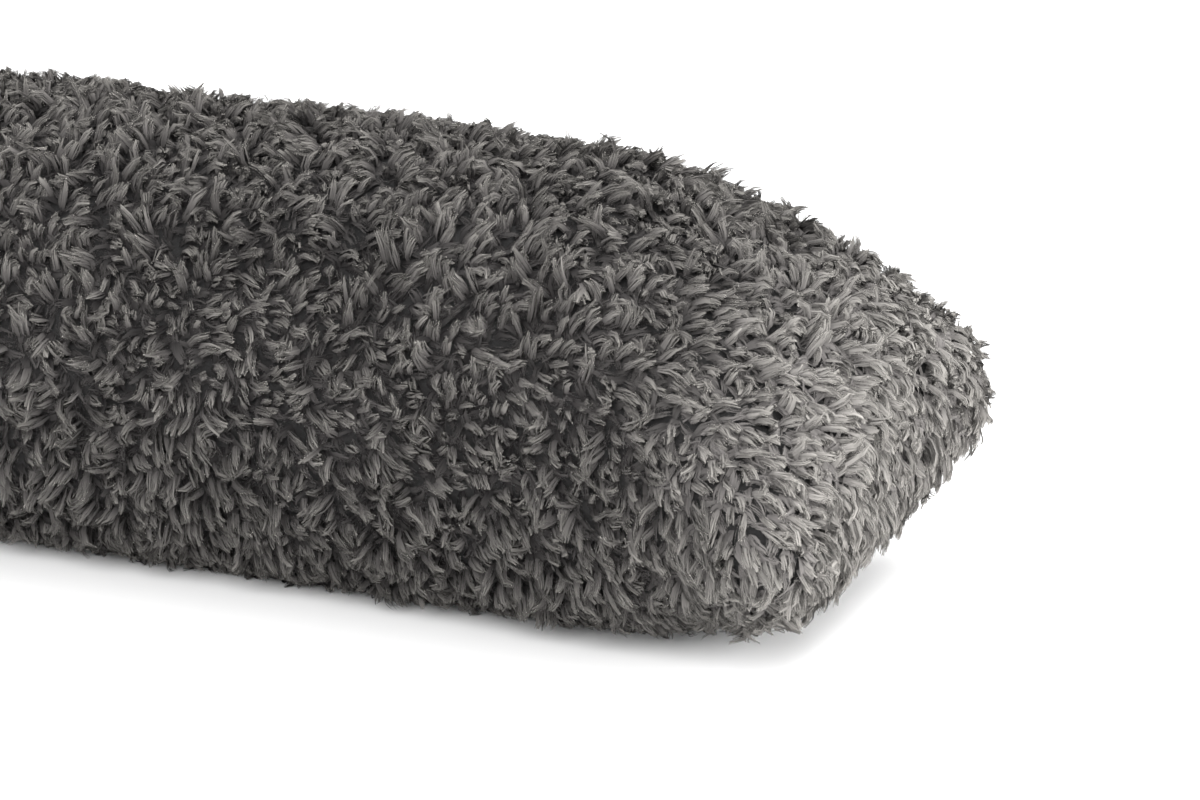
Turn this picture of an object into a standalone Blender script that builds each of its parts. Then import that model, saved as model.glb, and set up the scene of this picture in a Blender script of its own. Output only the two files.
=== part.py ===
"""Draught excluder: one long tube of deep-pile fleece, filled, and sewn shut flat at both ends.

It lies on the floor along X. The solid reaches as far as the tips of the pile do. Each end closes
like a pillow's: the crown runs down to a straight seam, whose two corners stand out as ears, and
the sides draw in a little behind them. The underside is pressed flat where it rests.
Metres, +Z up, origin on the floor under the middle.
"""

import math

import bmesh
import bpy

# Driving dimensions, in metres
LENGTH = 0.900
BODY_WIDTH = 0.161
BODY_HEIGHT = 0.1325
BASE_PRESSED_IN = 0.0045
EAR_TO_EAR = 0.180
SEAM_HEIGHT = 0.0455
SEAM_EDGE_RADIUS = 0.0125
EAR_RADIUS = 0.021
SEAM_HOLLOW = 0.0075
TAPER_LENGTH = 0.100
EAR_LENGTH = 0.052
EARS_END = 0.115

# Roundness of a cross-section: 2 is an ellipse, less is a lens, more is a rounded box
BODY_ROUNDNESS = 2.25
SEAM_ROUNDNESS = 1.80
CROWN_ROUNDNESS = 2.06

# Fineness of the mesh
POINTS_AROUND = 44
RINGS_IN_TAPER = 13
RINGS_BETWEEN = 15
FIRST_RING_IN = 0.0003

# How the filling lies: soft swells (+) and dents (-). Around is measured from the far side (+Y)
# up over the crown (90) to the near side (180) and on to the underside (270).
# along (m), around (degrees), half length (m), half spread (degrees), height (m)
FILLING = (
    (0.130, 215, 0.110, 45, 0.0030),
    (0.392, 80, 0.030, 50, -0.0035),
    (0.330, 170, 0.045, 30, -0.0020),
    (0.215, 140, 0.040, 25, -0.0018),
    (0.270, 95, 0.050, 35, 0.0012),
    (0.020, 120, 0.060, 40, -0.0025),
    (-0.090, 190, 0.070, 35, -0.0022),
    (-0.120, 60, 0.080, 40, 0.0025),
    (-0.250, 100, 0.055, 40, -0.0028),
    (-0.300, 200, 0.060, 35, 0.0022),
    (-0.390, 85, 0.035, 45, -0.0025),
    (0.100, 20, 0.080, 35, -0.0020),
    (0.300, 15, 0.070, 35, 0.0020),
    (-0.200, 10, 0.090, 35, 0.0024),
)

PILE_GREY = (0.102, 0.100, 0.096, 1.0)


def bump(distance, reach):
    """A smooth bell, 1 at the middle and near 0 past its reach."""
    return math.exp(-((distance / reach) ** 2))


def rounded(share, roundness):
    """How far a rounded edge has risen, from 0 at its tip to 1 where share reaches 1."""
    rest = 1 - min(max(share, 0), 1)
    return (1 - rest**roundness) ** (1 / roundness)


def signed_power(value, power):
    return math.copysign(abs(value) ** power, value)


def filling_height(along, around):
    """How far the filling stands out of, or sinks under, the even form at one place."""
    height = 0
    for middle, angle, half_length, half_spread, size in FILLING:
        turn = (around - angle + 180) % 360 - 180
        height += size * bump(along - middle, half_length) * bump(turn, half_spread)
    return height


def surface_point(inward, side, around):
    """A point on the body: inward is the distance in from an end, and side is +1 or -1 for it."""
    seam_edge = rounded(inward / SEAM_EDGE_RADIUS, 2)
    crown = rounded(inward / TAPER_LENGTH, CROWN_ROUNDNESS)
    ear = bump(inward, EAR_LENGTH)
    half_height = SEAM_EDGE_RADIUS * seam_edge + (BODY_HEIGHT / 2 - SEAM_EDGE_RADIUS) * crown
    half_width = BODY_WIDTH / 2 + (EAR_TO_EAR - BODY_WIDTH) / 2 * ear
    half_width -= EAR_RADIUS * (1 - rounded(inward / EAR_RADIUS, 2))
    roundness = BODY_ROUNDNESS + (SEAM_ROUNDNESS - BODY_ROUNDNESS) * ear
    middle_height = SEAM_HEIGHT + (BODY_HEIGHT / 2 - SEAM_HEIGHT) * crown

    turn = math.radians(around)
    across = signed_power(math.cos(turn), 2 / roundness)
    up = signed_power(math.sin(turn), 2 / roundness)
    hollow = SEAM_HOLLOW * ear * (1 - across**2)
    x = side * (LENGTH / 2 - inward - hollow)
    swell = filling_height(x, around) * crown
    y = (half_width + swell) * across
    z = middle_height + (half_height + swell) * up - BASE_PRESSED_IN
    return x, y, max(z, 0)


def ring_distances():
    """How far in from an end each ring lies: close together where the form turns quickly."""
    taper_end = max(TAPER_LENGTH, EARS_END)
    steps = [(i / (RINGS_IN_TAPER - 1)) ** 2 for i in range(RINGS_IN_TAPER)]
    return [FIRST_RING_IN + (taper_end - FIRST_RING_IN) * step for step in steps]


def ring_stations():
    """(inward, side) of every ring, from the -X end to the +X end."""
    ends = ring_distances()
    gap = (LENGTH - 2 * ends[-1]) / (RINGS_BETWEEN + 1)
    stations = [(inward, -1) for inward in ends]
    for i in range(1, RINGS_BETWEEN + 1):
        x = -LENGTH / 2 + ends[-1] + i * gap
        stations.append((LENGTH / 2 - abs(x), 1 if x > 0 else -1))
    return stations + [(inward, 1) for inward in reversed(ends)]


def add_ring(mesh, inward, side):
    angles = [360 * i / POINTS_AROUND for i in range(POINTS_AROUND)]
    return [mesh.verts.new(surface_point(inward, side, angle)) for angle in angles]


def close_end(mesh, ring, flip):
    """Closes an end along its seam: the points above it join those straight below."""
    half = POINTS_AROUND // 2
    for i in range(half):
        below, next_below = -i % POINTS_AROUND, -(i + 1) % POINTS_AROUND
        corners = [ring[i], ring[i + 1], ring[next_below], ring[below]]
        corners = list(dict.fromkeys(corners))
        mesh.faces.new(reversed(corners) if flip else corners)


def make_fleece():
    """Grey polyester fleece, whose long pile hides the weave."""
    fleece = bpy.data.materials.new("fleece")
    fleece.use_nodes = True
    shader = fleece.node_tree.nodes["Principled BSDF"]
    shader.inputs["Base Color"].default_value = PILE_GREY
    shader.inputs["Roughness"].default_value = 0.95
    shader.inputs["Metallic"].default_value = 0.0
    return fleece


def make_fleece_cover():
    """The filled tube with both its sewn ends, as one closed skin."""
    mesh = bmesh.new()
    rings = [add_ring(mesh, inward, side) for inward, side in ring_stations()]
    for ring, after in zip(rings, rings[1:]):
        for i in range(POINTS_AROUND):
            j = (i + 1) % POINTS_AROUND
            mesh.faces.new((ring[i], ring[j], after[j], after[i]))
    close_end(mesh, rings[0], flip=True)
    close_end(mesh, rings[-1], flip=False)
    bmesh.ops.recalc_face_normals(mesh, faces=mesh.faces)

    data = bpy.data.meshes.new("fleece_cover")
    mesh.to_mesh(data)
    mesh.free()
    data.shade_smooth()
    data.materials.append(make_fleece())
    cover = bpy.data.objects.new("fleece_cover", data)
    bpy.context.scene.collection.objects.link(cover)
    return cover


def main():
    for old in list(bpy.data.objects):
        bpy.data.objects.remove(old, do_unlink=True)
    make_fleece_cover()


main()
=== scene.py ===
"""Draught excluder in shaggy grey fleece, laid out as a Blender add-on and run as a script.

A filled fleece tube, sewn shut flat at both ends, lies on a pale floor. The cover is puffed out
by cloth simulation. Its deep pile is grown on it as curled locks that cling in tufts. Each lock
is a few flat wisps, which their material parts into strands of fibre.
"""

import math

import bmesh
import bpy
import numpy as np
from bpy.props import (
    FloatProperty,
    FloatVectorProperty,
    IntProperty,
    PointerProperty,
    StringProperty,
)
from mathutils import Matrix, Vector
from mathutils.kdtree import KDTree


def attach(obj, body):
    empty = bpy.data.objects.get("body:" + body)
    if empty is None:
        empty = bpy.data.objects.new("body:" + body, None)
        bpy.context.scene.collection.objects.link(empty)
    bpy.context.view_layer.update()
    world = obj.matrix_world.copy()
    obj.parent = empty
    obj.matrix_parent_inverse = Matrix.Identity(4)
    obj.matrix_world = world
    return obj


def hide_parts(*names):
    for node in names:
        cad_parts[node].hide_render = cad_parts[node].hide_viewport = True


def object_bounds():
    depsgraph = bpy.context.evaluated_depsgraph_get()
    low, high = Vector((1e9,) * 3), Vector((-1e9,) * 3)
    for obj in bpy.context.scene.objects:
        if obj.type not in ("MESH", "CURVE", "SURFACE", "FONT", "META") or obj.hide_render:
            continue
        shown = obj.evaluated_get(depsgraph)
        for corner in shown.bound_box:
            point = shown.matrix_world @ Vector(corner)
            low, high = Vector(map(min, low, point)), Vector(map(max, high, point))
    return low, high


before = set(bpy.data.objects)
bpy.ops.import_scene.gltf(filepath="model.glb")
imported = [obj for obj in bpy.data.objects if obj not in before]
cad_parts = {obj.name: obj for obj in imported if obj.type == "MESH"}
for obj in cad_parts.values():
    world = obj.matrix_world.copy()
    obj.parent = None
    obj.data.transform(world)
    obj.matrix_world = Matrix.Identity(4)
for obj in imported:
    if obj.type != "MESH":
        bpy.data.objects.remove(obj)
CAD_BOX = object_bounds()

bl_info = {
    "name": "Draught excluder",
    "version": (1, 0, 0),
    "blender": (4, 5, 0),
    "location": "3D View > Sidebar > Draught",
    "description": "Makes a draught excluder in deep-pile fleece, and a stage for it",
    "category": "Object",
}

COVER_NODE = "fleece_cover"
BODY = "root"
MM = 0.001
MOST_PILE_TRIANGLES = 965_000
LOWEST = 0.3 * MM  # the pile lies this far over the floor
SEAM_REACH = 22 * MM  # how far in from an end the cover is thin
SEAM_PROUD = 0.9  # the share of the pile's depth that is left off at an end seam


# ------------------------------------------------------------------ sizes and colours


class CoverSettings(bpy.types.PropertyGroup):
    """The sewn and filled tube under the pile."""

    pile_reach: FloatProperty(
        name="Pile reach",
        description="How far the ground cloth lies under the tips of the pile",
        default=5.6 * MM,
        unit="LENGTH",
    )
    crushed_pile: FloatProperty(
        name="Crushed pile",
        description="How thick the pile is where the filling presses it on the floor",
        default=3.5 * MM,
        unit="LENGTH",
    )
    voxel: FloatProperty(
        name="Mesh size",
        description="Width of the faces that the ground cloth is simulated with",
        default=4.0 * MM,
        unit="LENGTH",
    )
    pressure: FloatProperty(
        name="Filling pressure",
        description="How hard the fibre filling presses outwards in the simulation",
        default=4.0,
    )
    slack: FloatProperty(
        name="Slack",
        description="How far the filling may puff the cloth out",
        default=2.0 * MM,
        unit="LENGTH",
    )
    settle_frames: IntProperty(
        name="Settling time",
        description="Frames of simulation in which the filling finds its place",
        default=20,
    )
    fill: FloatProperty(
        name="Fill",
        description="How tightly the tube is filled, from 0, slack, to 1, full",
        default=0.7,
        min=0.0,
        max=1.0,
        subtype="FACTOR",
    )


class PileSettings(bpy.types.PropertyGroup):
    """The locks of fibre that make up the pile."""

    spacing: FloatProperty(
        name="Spacing",
        description="Least distance between the roots of two locks",
        default=2.65 * MM,
        unit="LENGTH",
    )
    width: FloatProperty(
        name="Lock width",
        description="Mean width of a lock at its widest",
        default=2.0 * MM,
        unit="LENGTH",
    )
    length: FloatProperty(
        name="Lock length",
        description="Mean length of a lock along its curve",
        default=8.7 * MM,
        unit="LENGTH",
    )
    most_locks: IntProperty(
        name="Most locks",
        description="The pile stops growing at this many locks",
        default=37000,
    )
    tuft: FloatProperty(
        name="Tuft spacing",
        description="Least distance between the middles of the tufts that the locks cling to",
        default=4.1 * MM,
        unit="LENGTH",
    )
    cling: FloatProperty(
        name="Cling",
        description="How far the tips of the locks draw in to the middle of their tuft",
        default=0.62,
        min=0.0,
        max=1.0,
        subtype="FACTOR",
    )
    wisps: IntProperty(
        name="Wisps in a lock",
        description="How many flat wisps of fibre twist together into each lock",
        default=4,
    )
    wisp_width: FloatProperty(
        name="Wisp width",
        description="Mean width of one wisp at its widest",
        default=2.1 * MM,
        unit="LENGTH",
    )
    under_length: FloatProperty(
        name="Underwool length",
        description="Mean length of the broad wisps that lie matted between the locks",
        default=8.0 * MM,
        unit="LENGTH",
    )
    under_width: FloatProperty(
        name="Underwool width",
        description="Mean width of the broad wisps that lie matted between the locks",
        default=3.6 * MM,
        unit="LENGTH",
    )
    under_rise: FloatProperty(
        name="Underwool height",
        description="How far the matted wisps stand off the ground cloth",
        default=3.0 * MM,
        unit="LENGTH",
    )
    strays: FloatProperty(
        name="Strays",
        description="Share of the wisps that stand clear of their lock",
        default=0.06,
        min=0.0,
        max=1.0,
        subtype="FACTOR",
    )
    strips: IntProperty(
        name="Strips",
        description="How many meshes the pile is shared between, along the tube",
        default=6,
    )
    seed: IntProperty(
        name="Seed",
        description="Picks one of many chance arrangements of the locks",
        default=7,
    )


class ColourSettings(bpy.types.PropertyGroup):
    """Colours of the dyed fibre and the floor, as sRGB hex values, with painted shade in the root and
    ground cloth colours.
    """

    # Painted shade: the root colour darkens the pile deep between the locks
    root: StringProperty(
        name="Root",
        description="Deep between the locks, where little light gets in",
        default="201f1f",
    )
    middle: StringProperty(
        name="Middle",
        description="Along the sides of the locks",
        default="42403f",
    )
    # The tip colour is the lightest end of the painted shade along a lock
    tip: StringProperty(
        name="Tip",
        description="At the brushed tips, which are worn a little paler",
        default="5d5b58",
    )
    # Painted shade: the ground cloth is coloured as the deep shade under the pile
    ground: StringProperty(
        name="Ground cloth",
        description="The knitted ground, under the pile",
        default="212020",
    )
    floor: StringProperty(
        name="Floor",
        description="The plain pale floor",
        default="f2f2f2",
    )


class StageSettings(bpy.types.PropertyGroup):
    """Camera, floor and soft studio light."""

    azimuth: FloatProperty(
        name="Azimuth",
        description="How far the camera has moved round towards the +X end",
        default=math.radians(22.9),
        subtype="ANGLE",
    )
    elevation: FloatProperty(
        name="Elevation",
        description="How far above the horizon the camera stands",
        default=math.radians(19.9),
        subtype="ANGLE",
    )
    distance: FloatProperty(
        name="Distance",
        description="From the camera to the point it looks at",
        default=1.72,
        unit="LENGTH",
    )
    lens: FloatProperty(
        name="Lens",
        description="Focal length in millimetres on a 36 mm sensor",
        default=182.0,
    )
    target: FloatVectorProperty(
        name="Target",
        description="The point that the camera looks at",
        default=(0.3567, 0.0, 0.0572),
        subtype="TRANSLATION",
    )
    sky: FloatProperty(
        name="Sky",
        description="Strength of the even light from all round",
        default=1.14,
    )
    key: FloatProperty(
        name="Key light",
        description="Power in watts of the large soft box over and behind the object",
        default=38.0,
    )
    fill: FloatProperty(
        name="Fill light",
        description="Power in watts of the wide, low soft box that faces the +X end",
        default=30.0,
    )
    front: FloatProperty(
        name="Front light",
        description="Power in watts of the wide soft box high in front of the object",
        default=66.0,
    )


SETTINGS = (
    ("draught_cover", CoverSettings),
    ("draught_pile", PileSettings),
    ("draught_colours", ColourSettings),
    ("draught_stage", StageSettings),
)


# ------------------------------------------------------------------ materials


def linear(hex_colour):
    """An sRGB hex value as the linear colour that Blender's shaders take."""
    channels = [int(hex_colour[i : i + 2], 16) / 255 for i in (0, 2, 4)]
    bent = [c / 12.92 if c <= 0.04045 else ((c + 0.055) / 1.055) ** 2.4 for c in channels]
    return (*bent, 1.0)


def add_node(tree, kind, inputs=None, **settings):
    """Adds a node with its settings, and sets or links its inputs."""
    node = tree.nodes.new(kind)
    for name, value in settings.items():
        setattr(node, name, value)
    for name, value in (inputs or {}).items():
        if isinstance(value, bpy.types.NodeSocket):
            tree.links.new(value, node.inputs[name])
        else:
            node.inputs[name].default_value = value
    return node


def new_material(name):
    """An empty material, its node tree, and the output node."""
    material = bpy.data.materials.new(name)
    material.use_nodes = True
    material.node_tree.nodes.clear()
    output = add_node(material.node_tree, "ShaderNodeOutputMaterial")
    return material, material.node_tree, output


USUAL_WISP = (2.2, 9.0)  # millimetres across and along
STRAND = (0.45, 7.0)  # millimetres across and along
NOISE_APART = 173.0  # how far apart in the noise two wisps can lie


def brushed_polyester_pile(colours):
    """Brushed polyester fibre in twisted locks: matt and streaked along the fibres, with painted shade that
    darkens it towards the roots and painted light near the end seams.
    """
    material, tree, output = new_material("brushed_polyester_pile")
    along = add_node(tree, "ShaderNodeAttribute", attribute_name="along").outputs["Fac"]
    tone = add_node(tree, "ShaderNodeAttribute", attribute_name="tone").outputs["Fac"]
    seed = add_node(tree, "ShaderNodeAttribute", attribute_name="wisp_seed").outputs["Fac"]
    place = add_node(tree, "ShaderNodeUVMap", uv_map="fibre").outputs["UV"]
    split = add_node(tree, "ShaderNodeSeparateXYZ", {"Vector": place})
    # One fibre, 0.02 mm across, is too fine to show, so strands of clinging fibres are drawn
    across = add_node(
        tree,
        "ShaderNodeMath",
        {0: split.outputs["X"], 1: USUAL_WISP[0] / STRAND[0]},
        operation="MULTIPLY",
    )
    upwards = add_node(
        tree,
        "ShaderNodeMath",
        {0: split.outputs["Y"], 1: USUAL_WISP[1] / STRAND[1]},
        operation="MULTIPLY",
    )
    own = add_node(tree, "ShaderNodeMath", {0: seed, 1: NOISE_APART}, operation="MULTIPLY")
    fibres = add_node(
        tree,
        "ShaderNodeCombineXYZ",
        {"X": across.outputs[0], "Y": upwards.outputs[0], "Z": own.outputs[0]},
    )
    streak = add_node(
        tree,
        "ShaderNodeTexNoise",
        {"Vector": fibres.outputs[0], "Scale": 1.0, "Detail": 2.0, "Roughness": 0.55},
    )
    # Painted shade: the colour is darkest at the roots, deep in the pile where little light gets in, and
    # grows paler up to the tips
    shade = add_node(tree, "ShaderNodeValToRGB", {"Fac": along})
    ramp = shade.color_ramp
    ramp.elements[0].position = 0.10
    ramp.elements[0].color = linear(colours.root)
    ramp.elements[1].position = 1.0
    ramp.elements[1].color = linear(colours.tip)
    ramp.elements.new(0.55).color = linear(colours.middle)
    streaks = add_node(
        tree,
        "ShaderNodeMapRange",
        {
            "Value": streak.outputs["Fac"],
            "From Min": 0.3,
            "From Max": 0.7,
            "To Min": 0.76,
            "To Max": 1.24,
        },
    )
    # Painted light: besides its patches that differ at random, the tone makes the pile paler near the end
    # seams
    tone_and_end_light_scale = add_node(
        tree,
        "ShaderNodeMapRange",
        {"Value": tone, "From Min": 0.0, "From Max": 3.0, "To Min": 0.75, "To Max": 2.25},
    )
    both = add_node(
        tree, "ShaderNodeMath", {0: streaks.outputs[0], 1: tone_and_end_light_scale.outputs[0]}, operation="MULTIPLY"
    )
    colour = add_node(
        tree,
        "ShaderNodeVectorMath",
        {0: shade.outputs["Color"], "Scale": both.outputs[0]},
        operation="SCALE",
    )
    # Fuzz takes the light on either side of a wisp alike, so the shading follows the whole lock
    lock = add_node(tree, "ShaderNodeAttribute", attribute_name="lock_normal").outputs["Vector"]
    bump = add_node(
        tree,
        "ShaderNodeBump",
        {"Height": streak.outputs["Fac"], "Strength": 0.6, "Distance": 0.25 * MM, "Normal": lock},
    )
    # Strands part from each other towards a wisp's edges and its tip, with soft, fuzzy outlines
    edge = add_node(tree, "ShaderNodeMath", {0: split.outputs["X"], 1: 0.5}, operation="SUBTRACT")
    edge = add_node(tree, "ShaderNodeMath", {0: edge.outputs[0]}, operation="ABSOLUTE")
    edge = add_node(
        tree,
        "ShaderNodeMapRange",
        {"Value": edge.outputs[0], "From Min": 0.1, "From Max": 0.5, "To Min": 0.0, "To Max": 0.18},
    )
    tip = add_node(
        tree,
        "ShaderNodeMapRange",
        {"Value": split.outputs["Y"], "From Min": 0.5, "From Max": 1.0, "To Min": 0.33, "To Max": 0.52},
    )
    parting = add_node(tree, "ShaderNodeMath", {0: edge.outputs[0], 1: tip.outputs[0]}, operation="ADD")
    left = add_node(
        tree,
        "ShaderNodeMath",
        {0: streak.outputs["Fac"], 1: parting.outputs[0]},
        operation="SUBTRACT",
    )
    strands = add_node(
        tree,
        "ShaderNodeMapRange",
        {"Value": left.outputs[0], "From Min": -0.08, "From Max": 0.08, "To Min": 0.0, "To Max": 1.0},
    )
    shader = add_node(
        tree,
        "ShaderNodeBsdfPrincipled",
        {
            "Alpha": strands.outputs[0],
            "Base Color": colour.outputs[0],
            "Roughness": 1.0,
            "Specular IOR Level": 0.0,
            "Normal": bump.outputs["Normal"],
        },
    )
    tree.links.new(shader.outputs[0], output.inputs["Surface"])
    return material


def knitted_ground(colours):
    """The knitted ground of the fleece with its matted underwool, coloured as painted shade deep under the
    pile: dark, dull and uneven.
    """
    material, tree, output = new_material("knitted_ground")
    where = add_node(tree, "ShaderNodeTexCoord").outputs["Object"]
    # Matted tangles about 1.6 mm across
    mat = add_node(
        tree, "ShaderNodeTexNoise", {"Vector": where, "Scale": 1 / (1.6 * MM), "Detail": 4.0}
    )
    # Painted shade: the dark tangles and the ground colour stand in for the shade under the pile
    colour = add_node(tree, "ShaderNodeValToRGB", {"Fac": mat.outputs["Fac"]})
    colour.color_ramp.elements[0].position = 0.35
    colour.color_ramp.elements[0].color = linear("1d1d1d")
    colour.color_ramp.elements[1].position = 0.7
    colour.color_ramp.elements[1].color = linear(colours.ground)
    bump = add_node(
        tree,
        "ShaderNodeBump",
        {"Height": mat.outputs["Fac"], "Strength": 1.0, "Distance": 1.0 * MM},
    )
    shader = add_node(
        tree,
        "ShaderNodeBsdfPrincipled",
        {
            "Base Color": colour.outputs["Color"],
            "Roughness": 0.95,
            "Specular IOR Level": 0.2,
            "Normal": bump.outputs["Normal"],
        },
    )
    tree.links.new(shader.outputs[0], output.inputs["Surface"])
    return material


def painted_floor(colours):
    """Smooth matt white paint, with a faint unevenness from the roller."""
    material, tree, output = new_material("painted_floor")
    where = add_node(tree, "ShaderNodeTexCoord").outputs["Object"]
    # A roller leaves a stipple about 2.5 mm across
    stipple = add_node(tree, "ShaderNodeTexNoise", {"Vector": where, "Scale": 1 / (2.5 * MM)})
    bump = add_node(
        tree,
        "ShaderNodeBump",
        {"Height": stipple.outputs["Fac"], "Strength": 0.05, "Distance": 0.1 * MM},
    )
    shader = add_node(
        tree,
        "ShaderNodeBsdfPrincipled",
        {
            "Base Color": linear(colours.floor),
            "Roughness": 0.9,
            "Specular IOR Level": 0.1,
            "Normal": bump.outputs["Normal"],
        },
    )
    tree.links.new(shader.outputs[0], output.inputs["Surface"])
    return material


# ------------------------------------------------------------------ mesh helpers


def points_of(mesh):
    """The mesh's points, as one array (point, xyz)."""
    found = np.empty(len(mesh.vertices) * 3, np.float32)
    mesh.vertices.foreach_get("co", found)
    return found.reshape(-1, 3).astype(float)


def normals_of(mesh):
    """The normals at the mesh's points, as one array (point, xyz)."""
    found = np.empty(len(mesh.vertices) * 3, np.float32)
    mesh.vertex_normals.foreach_get("vector", found)
    return found.reshape(-1, 3).astype(float)


def set_points(mesh, points):
    """Moves the mesh's points to these places."""
    mesh.vertices.foreach_set("co", np.ascontiguousarray(points, np.float32).ravel())
    mesh.update()


def unit(vectors):
    """The same directions with a length of 1."""
    return vectors / np.maximum(np.linalg.norm(vectors, axis=-1, keepdims=True), 1e-12)


def link(name, data):
    """A new object in the scene that holds this mesh, lamp or camera."""
    made = bpy.data.objects.new(name, data)
    bpy.context.scene.collection.objects.link(made)
    return made


def part_of_object(piece):
    """The piece goes with the one body."""
    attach(piece, BODY)


# ------------------------------------------------------------------ the filled cover


def sink(mesh, depth, crushed):
    """Moves the surface in by the pile's depth, or by less where the pile is crushed or a seam thin."""
    normals, points = normals_of(mesh), points_of(mesh)
    down = np.clip((-normals[:, 2] - 0.75) / 0.25, 0, 1)
    from_end = CAD_BOX[1][0] - np.abs(points[:, 0])
    seam = 1 - SEAM_PROUD * np.exp(-((from_end / SEAM_REACH) ** 2))
    depths = (depth + (crushed - depth) * down) * seam
    set_points(mesh, points - normals * depths[:, None])


def puff_out(cover, settings):
    """Cloth simulation: the filling presses the cover out, and seams and corners hold it."""
    scene = bpy.context.scene
    start = points_of(cover.data)
    cloth = cover.modifiers.new("filling", "CLOTH")
    cloth.settings.quality = 5
    cloth.settings.mass = 0.3
    cloth.settings.tension_stiffness = 15
    cloth.settings.compression_stiffness = 15
    cloth.settings.shear_stiffness = 5
    cloth.settings.bending_stiffness = 0.5
    cloth.settings.use_pressure = True
    cloth.settings.uniform_pressure_force = settings.pressure
    cloth.settings.effector_weights.gravity = 0
    cloth.point_cache.frame_start = 1
    cloth.point_cache.frame_end = settings.settle_frames
    for step in range(1, settings.settle_frames + 1):
        scene.frame_set(step)
    settled = cover.evaluated_get(bpy.context.evaluated_depsgraph_get())
    moved = points_of(settled.to_mesh()) - start
    settled.to_mesh_clear()
    cover.modifiers.remove(cloth)
    scene.frame_set(1)
    far = np.linalg.norm(moved, axis=1, keepdims=True)
    set_points(cover.data, start + moved * np.minimum(1, settings.slack / np.maximum(far, 1e-9)))


def remesh(cover, size):
    """Even faces all over, as the simulation needs."""
    modifier = cover.modifiers.new("even_faces", "REMESH")
    modifier.mode = "VOXEL"
    modifier.voxel_size = size
    modifier.use_smooth_shade = True
    even = bpy.data.meshes.new_from_object(cover.evaluated_get(bpy.context.evaluated_depsgraph_get()))
    cover.modifiers.remove(modifier)
    cover.data = even


class DRAUGHT_OT_cover(bpy.types.Operator):
    """Make the filled fleece tube, without its pile"""

    bl_idname = "draught.cover"
    bl_label = "Filled cover"

    def execute(self, context):
        settings = context.scene.draught_cover
        cover = link("fleece_ground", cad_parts[COVER_NODE].data.copy())
        remesh(cover, settings.voxel)
        # Sunk in two steps, with even faces between them, so that no corner folds over itself
        half, half_crushed = settings.pile_reach * 0.5, settings.crushed_pile * 0.5
        sink(cover.data, half, half_crushed)
        remesh(cover, settings.voxel)
        sink(cover.data, half + settings.slack, half_crushed + settings.slack * 0.5)
        remesh(cover, settings.voxel)
        puff_out(cover, settings)
        points = points_of(cover.data)
        points[:, 2] = np.maximum(points[:, 2], settings.crushed_pile)
        set_points(cover.data, points)
        cover.data.shade_smooth()
        cover.data.materials.clear()
        cover.data.materials.append(knitted_ground(context.scene.draught_colours))
        part_of_object(cover)
        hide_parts(COVER_NODE)
        return {"FINISHED"}


# ------------------------------------------------------------------ the pile


STEPS_UP = np.array([0.0, 0.40, 0.72, 1.0])  # where a lock's points lie along it
ROUND_LOCK = np.array([0.3, 1.0, 0.95, 0.50])  # its thickness at each
WIDE_WISP = np.array([0.0, 0.9, 1.0, 0.85])  # and how wide a wisp is there: its tip is blunt
WISP_POINTS = 7
WISP_TRIANGLES = 5
ROUNDED_BY_FUZZ = 1.6  # how much the fuzz evens out the shading of a lock
EVENER_AT_ENDS = 3.0  # and how much more it does so at the end seams
BRUSHED_FROM = 120 * MM  # from here outwards the pile is brushed towards the ends,
BRUSHED_OVER = 230 * MM  # and it is brushed most this much further on
UNDERWOOL_PAINTED_SHADE = 0.35  # painted shade: the underwool is as dark as the locks are this far up
PAINTED_LIGHT_AT_ENDS = 1.7  # painted light: how much paler the pile is painted at the end seams
END_LIGHT_REACH = 36 * MM  # and how far in from a seam that is


def waves(points, length, count, rng):
    """A smooth random vector at each point, which changes over about this length."""
    turns = rng.normal(size=(count, 3))
    turns = unit(turns) * (2 * math.pi / length) * rng.uniform(0.7, 1.4, (count, 1))
    phases = rng.uniform(0, 2 * math.pi, (count, 3))
    sizes = rng.normal(size=(count, 3))
    angles = points @ turns.T
    total = sum(sizes[i] * np.sin(angles[:, i : i + 1] + phases[i]) for i in range(count))
    return total * math.sqrt(2 / count)


def surface_samples(mesh, count, rng):
    """Points spread by chance over the mesh, evenly by area, with the normal at each."""
    mesh.calc_loop_triangles()
    corners = np.empty(len(mesh.loop_triangles) * 3, np.int32)
    mesh.loop_triangles.foreach_get("vertices", corners)
    corners = corners.reshape(-1, 3)
    points, normals = points_of(mesh), normals_of(mesh)
    a, b, c = (points[corners[:, i]] for i in range(3))
    areas = np.linalg.norm(np.cross(b - a, c - a), axis=1) / 2
    picked = np.searchsorted(np.cumsum(areas), rng.uniform(0, areas.sum(), count))
    picked = np.minimum(picked, len(areas) - 1)
    r, s = rng.uniform(size=(2, count, 1))
    over = r + s > 1
    r, s = np.where(over, 1 - r, r), np.where(over, 1 - s, s)
    weights = np.concatenate([1 - r - s, r, s], axis=1)[:, :, None]
    chosen = corners[picked]
    return (points[chosen] * weights).sum(1), unit((normals[chosen] * weights).sum(1))


def keep_apart(points, least, most):
    """Numbers of the points kept, in order, so that no two are nearer than least."""
    cells = {}
    kept = []
    keys = np.floor(points / least).astype(int)
    around = [(i, j, k) for i in (-1, 0, 1) for j in (-1, 0, 1) for k in (-1, 0, 1)]
    least_squared = least * least
    rows = points.tolist()
    for number, (x, y, z) in enumerate(keys.tolist()):
        px, py, pz = rows[number]
        clear = True
        for i, j, k in around:
            for qx, qy, qz in cells.get((x + i, y + j, z + k), ()):
                if (px - qx) ** 2 + (py - qy) ** 2 + (pz - qz) ** 2 < least_squared:
                    clear = False
                    break
            if not clear:
                break
        if clear:
            cells.setdefault((x, y, z), []).append((px, py, pz))
            kept.append(number)
            if len(kept) == most:
                break
    return np.array(kept)


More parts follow.
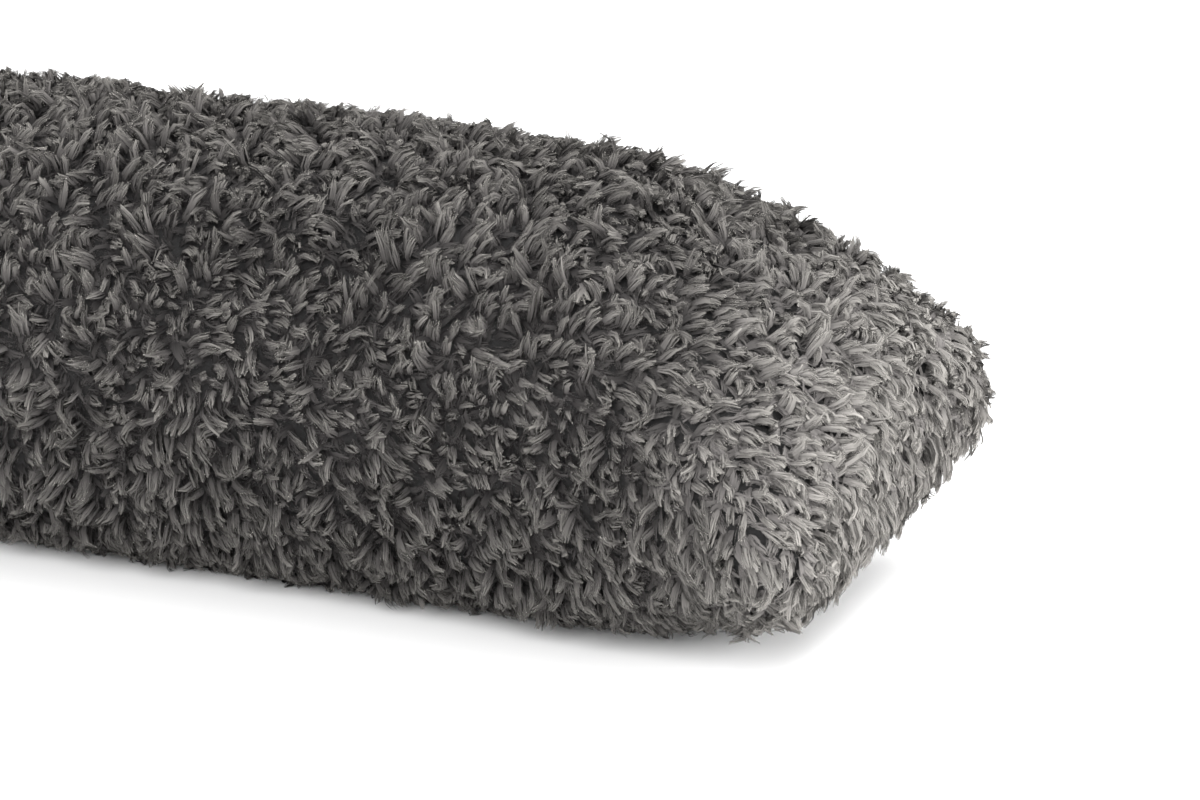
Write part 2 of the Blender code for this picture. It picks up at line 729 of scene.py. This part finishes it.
def near_end(roots, reach):
    """1 at the seam of either end, and falling to 0 over about this distance."""
    return np.exp(-(((CAD_BOX[1][0] - np.abs(roots[:, :1])) / reach) ** 2))


def tufts_of(roots, apart):
    """For each lock, the number of the lock at the middle of the tuft that it clings to."""
    middles = keep_apart(roots, apart, len(roots))
    tree = KDTree(len(middles))
    for number, middle in enumerate(middles.tolist()):
        tree.insert(roots[middle], number)
    tree.balance()
    return middles[[tree.find(root)[1] for root in roots]]


def nap(roots, normals, tufts, rng):
    """The way each lock leans over the ground: as it is brushed, swept and parted, and by chance."""
    height = (roots[:, 2] - 0.5 * CAD_BOX[1][2]) / (0.5 * CAD_BOX[1][2])
    outward = np.clip((np.abs(roots[:, 0]) - BRUSHED_FROM) / BRUSHED_OVER, 0, 1) ** 1.5
    outward = outward * np.sign(roots[:, 0])
    # The crown is brushed upwards and the sides hang
    brushed = np.zeros_like(roots)
    brushed[:, 2] = 1.6 * height - 0.75
    brushed[:, 0] = 0.45 * outward * (1 - near_end(roots, 50 * MM)[:, 0])
    swept = waves(roots, 110 * MM, 16, rng)
    parted = waves(roots, 15 * MM, 24, rng)
    own = 0.30 * rng.normal(size=roots.shape)[tufts] + 0.08 * rng.normal(size=roots.shape)
    lean = brushed + 0.28 * swept + 0.34 * parted + own
    lean -= (lean * normals).sum(1, keepdims=True) * normals
    return unit(lean) * np.clip(np.linalg.norm(lean, axis=1, keepdims=True), 0.45, 1.2)


def grow_locks(roots, normals, tufts, settings, rng):
    """Centre points (lock, step, xyz) of the locks, and a direction across each."""
    count = len(roots)
    lean = nap(roots, normals, tufts, rng)
    side = np.cross(normals, unit(lean))
    curl = 0.9 * rng.normal(size=(count, 1))[tufts] + 0.15 * rng.normal(size=(count, 1))
    droop = rng.uniform(-0.6, 0.5, (count, 1))[tufts]
    start = unit(normals + 0.25 * lean - 0.2 * curl * side)
    middle = unit(0.75 * normals + 0.9 * lean)
    end = unit(normals * droop + 1.1 * lean + curl * side)
    low = np.clip(1 - roots[:, 2] / (16 * MM), 0, 1) * np.clip(-normals[:, 2] / 0.7, 0, 1)
    tufted = 1 + 0.13 * waves(roots, 14 * MM, 16, rng)[:, 0]
    grown = rng.normal(1, 0.14, count)[tufts] + 0.05 * rng.normal(size=count)
    length = settings.length * np.clip(grown * tufted, 0.6, 1.5) * (1 - 0.6 * low)
    centres = np.empty((count, len(STEPS_UP), 3))
    centres[:, 0] = roots - normals * 1.0 * MM
    for i in range(1, len(STEPS_UP)):
        at = (STEPS_UP[i] + STEPS_UP[i - 1]) / 2
        way = (1 - at) ** 2 * start + 2 * at * (1 - at) * middle + at**2 * end
        stretch = (length * (STEPS_UP[i] - STEPS_UP[i - 1]))[:, None]
        centres[:, i] = centres[:, i - 1] + unit(way) * stretch
    cling = settings.cling * (roots[tufts] - roots)
    centres += cling[:, None] * (STEPS_UP**0.7)[None, :, None]
    return centres, unit(side + 0.35 * rng.normal(size=(count, 3)))


def frames_along(centres, across):
    """The way a lock runs at each step, and two directions square to it."""
    ways = unit(np.gradient(centres, axis=1))
    u = unit(across[:, None] - (across[:, None] * ways).sum(2, keepdims=True) * ways)
    return ways, u, np.cross(ways, u)


def wisp_ribbons(centres, across, normals, tufts, settings, rng):
    """Points (lock, wisp, point, xyz) of the wisps that twist round each lock, and their normals."""
    count, wisps = len(centres), settings.wisps
    ways, u, v = frames_along(centres, across)
    thick = settings.width / 2 * np.clip(rng.normal(1, 0.2, count), 0.55, 1.6)
    twist = rng.normal(size=count) * 0.3
    fuzz = (ROUNDED_BY_FUZZ + EVENER_AT_ENDS * near_end(centres[:, 0], 90 * MM)) * normals
    found = np.empty((count, wisps, WISP_POINTS, 3))
    facing = np.empty_like(found)
    spread = math.pi / wisps
    for w in range(wisps):
        place = 2 * math.pi * (w + rng.uniform(-0.3, 0.3, count)) / wisps
        reach = rng.uniform(0.80, 1.06, (count, 1))
        stray = np.where(rng.uniform(size=(count, 1)) < settings.strays, 2.6, 1.0)
        frizz = rng.normal(size=(count, 3)) * 0.28 * MM * stray
        half = settings.wisp_width / 2 * rng.uniform(0.75, 1.2, (count, 1)) / np.sqrt(stray)
        slant = rng.normal(size=(count, 1)) * 0.5 * MM
        for i, step in enumerate(STEPS_UP):
            turn = (place + twist * step)[:, None]
            out = np.cos(turn) * u[:, i] + 0.7 * np.sin(turn) * v[:, i]
            along = -np.sin(turn) * u[:, i] + np.cos(turn) * v[:, i]
            offset = out * (thick * ROUND_LOCK[i])[:, None] + frizz * step**2
            middle = centres[:, 0] + (centres[:, i] - centres[:, 0]) * reach + offset
            if i == 0:
                found[:, w, 0] = middle
                facing[:, w, 0] = unit(out + fuzz)
                continue
            for edge, sign in enumerate((-1, 1)):
                end = sign * slant * step**4 * ways[:, i]
                found[:, w, 2 * i - 1 + edge] = middle + sign * along * half * WIDE_WISP[i] + end
                edge_turn = turn + sign * spread
                rounded = np.cos(edge_turn) * u[:, i] + np.sin(edge_turn) * v[:, i]
                from_core = found[:, w, 2 * i - 1 + edge] - centres[tufts, i]
                from_core /= np.maximum(np.linalg.norm(from_core, axis=1, keepdims=True), 1.2 * MM)
                facing[:, w, 2 * i - 1 + edge] = unit(0.35 * rounded + 1.1 * from_core + fuzz)
    return found, facing


def underwool(roots, normals, settings, rng):
    """Points (wisp, point, xyz) of the broad wisps matted between the locks, and their normals."""
    count = len(roots)
    lean = nap(roots, normals, np.arange(count), rng) + 0.6 * rng.normal(size=roots.shape)
    lean = unit(lean - (lean * normals).sum(1, keepdims=True) * normals)
    side = np.cross(lean, normals)
    curl = rng.normal(size=(count, 1)) * 0.5
    length = settings.under_length * rng.uniform(0.8, 1.2, (count, 1))
    half = settings.under_width / 2 * rng.uniform(0.8, 1.2, (count, 1))
    rise = settings.under_rise * rng.uniform(0.3, 1.0, (count, 1))
    tilt = rng.normal(size=(count, 1)) * 0.25
    found = np.empty((count, WISP_POINTS, 3))
    facing = np.empty_like(found)
    for i, step in enumerate(STEPS_UP):
        ahead = (step - 0.45) * length
        arch = rise * math.sin(step * 2.4)
        middle = roots + lean * ahead + side * curl * ahead * step + normals * arch
        facing_now = unit(normals + 0.3 * lean * (step - 0.4))
        if i == 0:
            found[:, 0] = middle - normals * 0.8 * MM
            facing[:, 0] = facing_now
            continue
        for edge, sign in enumerate((-1, 1)):
            out = sign * half * WIDE_WISP[i]
            found[:, 2 * i - 1 + edge] = middle + side * out + normals * (out * tilt - 0.3 * MM)
            facing[:, 2 * i - 1 + edge] = unit(facing_now + 0.5 * sign * side)
    return found, facing


def wisp_faces():
    """The faces of one wisp, as point numbers, and each corner's place across and along it."""
    low, bend, tip = STEPS_UP[1:]
    faces = [(0, 2, 1), (1, 2, 4, 3), (3, 4, 6, 5)]
    places = [(0.5, 0), (1, low), (0, low)]
    places += [(0, low), (1, low), (1, bend), (0, bend)]
    places += [(0, bend), (1, bend), (1, tip), (0, tip)]
    return faces, np.array(places)


def fibre_mesh(name, points, facing, values):
    """One mesh of many wisps, with the attributes and the map that its material reads."""
    faces, places = wisp_faces()
    count = len(points)
    face_corners = np.concatenate([np.array(face) for face in faces])
    face_starts = np.concatenate([[0], np.cumsum([len(face) for face in faces])[:-1]])
    shift = np.arange(count)[:, None]
    corners = (face_corners[None] + shift * WISP_POINTS).ravel()
    starts = (face_starts[None] + shift * len(face_corners)).ravel()
    points, facing = points.reshape(-1, 3), facing.reshape(-1, 3)
    points[:, 2] = np.maximum(points[:, 2], LOWEST)
    mesh = bpy.data.meshes.new(name)
    mesh.vertices.add(len(points))
    mesh.vertices.foreach_set("co", points.astype(np.float32).ravel())
    mesh.loops.add(len(corners))
    mesh.loops.foreach_set("vertex_index", corners.astype(np.int32))
    mesh.polygons.add(len(starts))
    mesh.polygons.foreach_set("loop_start", starts.astype(np.int32))
    mesh.update(calc_edges=True)
    for label, found in values.items():
        attribute = mesh.attributes.new(label, "FLOAT", "POINT")
        attribute.data.foreach_set("value", found.astype(np.float32))
    lock_normal = mesh.attributes.new("lock_normal", "FLOAT_VECTOR", "POINT")
    lock_normal.data.foreach_set("vector", facing.astype(np.float32).ravel())
    fibre = mesh.uv_layers.new(name="fibre")
    fibre.data.foreach_set("uv", np.tile(places, (count, 1)).astype(np.float32).ravel())
    mesh.shade_smooth()
    mesh.normals_split_custom_set_from_vertices(facing.astype(np.float32))
    return mesh


def tones_and_end_light_of(roots, tufts, wisps, rng):
    """How pale each wisp is: by patches, by its tuft and by chance, with painted light that makes it paler
    near the end seams.
    """
    patches = waves(roots, 45 * MM, 12, rng)[:, :1] + waves(roots, 14 * MM, 16, rng)[:, :1]
    tones_and_end_light = 0.5 + 0.11 * patches + 0.14 * rng.normal(size=(len(roots), 1))[tufts]
    return tones_and_end_light + 0.06 * rng.normal(size=(len(roots), wisps)) + PAINTED_LIGHT_AT_ENDS * near_end(roots, END_LIGHT_REACH)


def painted_shade_of(roots, wisps):
    """How far up a lock each point is, which sets its painted shade, with painted light that makes the
    roots paler near the end seams.
    """
    along = np.tile(np.repeat(STEPS_UP, (1, 2, 2, 2)), (len(roots), wisps, 1))
    along[:, -1] *= UNDERWOOL_PAINTED_SHADE
    # Painted light near the end seams: the roots there get less painted shade
    return along + 0.5 * near_end(roots, 45 * MM)[:, :, None] * (1 - along)


class DRAUGHT_OT_pile(bpy.types.Operator):
    """Grow the deep pile on the cover, in strips along the tube"""

    bl_idname = "draught.pile"
    bl_label = "Pile"

    def execute(self, context):
        settings = context.scene.draught_pile
        cover = bpy.data.objects["fleece_ground"]
        rng = np.random.default_rng(settings.seed)
        points, normals = surface_samples(cover.data, 8 * settings.most_locks, rng)
        kept = keep_apart(points, settings.spacing, settings.most_locks)
        kept = kept[np.argsort(points[kept][:, 0])]
        roots, normals = points[kept], normals[kept]
        wisps_each = settings.wisps + 1  # the last one is underwool
        if len(roots) * wisps_each * WISP_TRIANGLES > MOST_PILE_TRIANGLES:
            raise RuntimeError(f"{len(roots)} locks hold too many triangles")
        tufts = tufts_of(roots, settings.tuft)
        centres, across = grow_locks(roots, normals, tufts, settings, rng)
        wisps, facing = wisp_ribbons(centres, across, normals, tufts, settings, rng)
        matted, matted_facing = underwool(roots, normals, settings, rng)
        wisps = np.concatenate([wisps, matted[:, None]], axis=1)
        facing = np.concatenate([facing, matted_facing[:, None]], axis=1)
        seeds = rng.uniform(size=(len(roots), wisps_each))
        tones_and_end_light = tones_and_end_light_of(roots, tufts, wisps_each, rng)
        painted_shade = painted_shade_of(roots, wisps_each)
        material = brushed_polyester_pile(context.scene.draught_colours)
        strips = np.array_split(np.arange(len(roots)), settings.strips)
        for number, chosen in enumerate(strips, start=1):
            name = f"pile_{number:02d}"
            values = {
                "along": painted_shade[chosen].ravel(),
                "wisp_seed": np.repeat(seeds[chosen].ravel(), WISP_POINTS),
                "tone": np.repeat(tones_and_end_light[chosen].ravel(), WISP_POINTS),
            }
            ribbons = wisps[chosen].reshape(-1, WISP_POINTS, 3)
            mesh = fibre_mesh(name, ribbons, facing[chosen], values)
            mesh.materials.append(material)
            part_of_object(link(name, mesh))
        return {"FINISHED"}


# ------------------------------------------------------------------ the stage


SOFT_BOXES = (
    # setting with its power, place, where it is aimed, width, height
    ("key", (0.40, 0.60, 1.45), (0.25, 0.0, 0.05), 1.5, 1.0),
    ("fill", (1.70, 0.12, 0.42), (0.45, 0.0, 0.06), 2.0, 0.8),
    ("front", (0.70, -1.90, 1.35), (0.3, -0.1, 0.0), 1.8, 1.0),
)
FLOOR_REACH = 15.0  # metres each way, so that no view shows an edge


def turned_towards(made, place, aim):
    """Puts a lamp or a camera at its place, and turns it to face the other point."""
    made.location = place
    made.rotation_euler = (Vector(aim) - Vector(place)).to_track_quat("-Z", "Y").to_euler()


def soft_box(name, place, aim, width, height, power):
    """A studio light with a flat, even face."""
    lamp = bpy.data.lights.new(name, "AREA")
    lamp.shape = "RECTANGLE"
    lamp.size, lamp.size_y = width, height
    lamp.energy = power
    turned_towards(link(name, lamp), place, aim)


def studio_world(strength):
    """Even white light from all round."""
    world = bpy.data.worlds.new("studio")
    world.use_nodes = True
    background = world.node_tree.nodes["Background"]
    background.inputs["Color"].default_value = linear("ffffff")
    background.inputs["Strength"].default_value = strength
    return world


class DRAUGHT_OT_stage(bpy.types.Operator):
    """Set up the pale floor, the soft studio light and the camera"""

    bl_idname = "draught.stage"
    bl_label = "Floor, light and camera"

    def execute(self, context):
        scene = context.scene
        settings = scene.draught_stage
        mesh = bpy.data.meshes.new("floor")
        grid = bmesh.new()
        bmesh.ops.create_grid(grid, x_segments=8, y_segments=8, size=FLOOR_REACH)
        grid.to_mesh(mesh)
        grid.free()
        mesh.materials.append(painted_floor(scene.draught_colours))
        link("floor", mesh)

        target = Vector(settings.target)
        turn, rise = settings.azimuth, settings.elevation
        back = Vector(
            (math.sin(turn) * math.cos(rise), -math.cos(turn) * math.cos(rise), math.sin(rise))
        )
        lens = bpy.data.cameras.new("camera")
        lens.lens = settings.lens
        lens.sensor_width = 36.0
        lens.clip_end = 100.0
        scene.camera = link("camera", lens)
        turned_towards(scene.camera, target + back * settings.distance, target)

        for name, place, aim, width, height in SOFT_BOXES:
            soft_box(f"{name}_box", place, aim, width, height, getattr(settings, name))
        scene.world = studio_world(settings.sky)
        scene.view_settings.view_transform = "Standard"
        return {"FINISHED"}


STEPS = (DRAUGHT_OT_cover, DRAUGHT_OT_pile, DRAUGHT_OT_stage)


class DRAUGHT_PT_panel(bpy.types.Panel):
    """The sizes and colours, and the steps that make the draught excluder, in order"""

    bl_label = "Draught excluder"
    bl_idname = "DRAUGHT_PT_panel"
    bl_space_type = "VIEW_3D"
    bl_region_type = "UI"
    bl_category = "Draught"

    def draw(self, context):
        for name, group in SETTINGS:
            box = self.layout.box()
            for setting in group.__annotations__:
                box.prop(getattr(context.scene, name), setting)
        for step in STEPS:
            self.layout.operator(step.bl_idname)


def register():
    for name, group in SETTINGS:
        bpy.utils.register_class(group)
        setattr(bpy.types.Scene, name, PointerProperty(type=group))
    for step in STEPS:
        bpy.utils.register_class(step)
    bpy.utils.register_class(DRAUGHT_PT_panel)


def unregister():
    bpy.utils.unregister_class(DRAUGHT_PT_panel)
    for step in reversed(STEPS):
        bpy.utils.unregister_class(step)
    for name, group in reversed(SETTINGS):
        delattr(bpy.types.Scene, name)
        bpy.utils.unregister_class(group)


def main():
    register()
    bpy.ops.draught.cover()
    bpy.ops.draught.pile()
    bpy.ops.draught.stage()


if __name__ == "__main__":
    main()
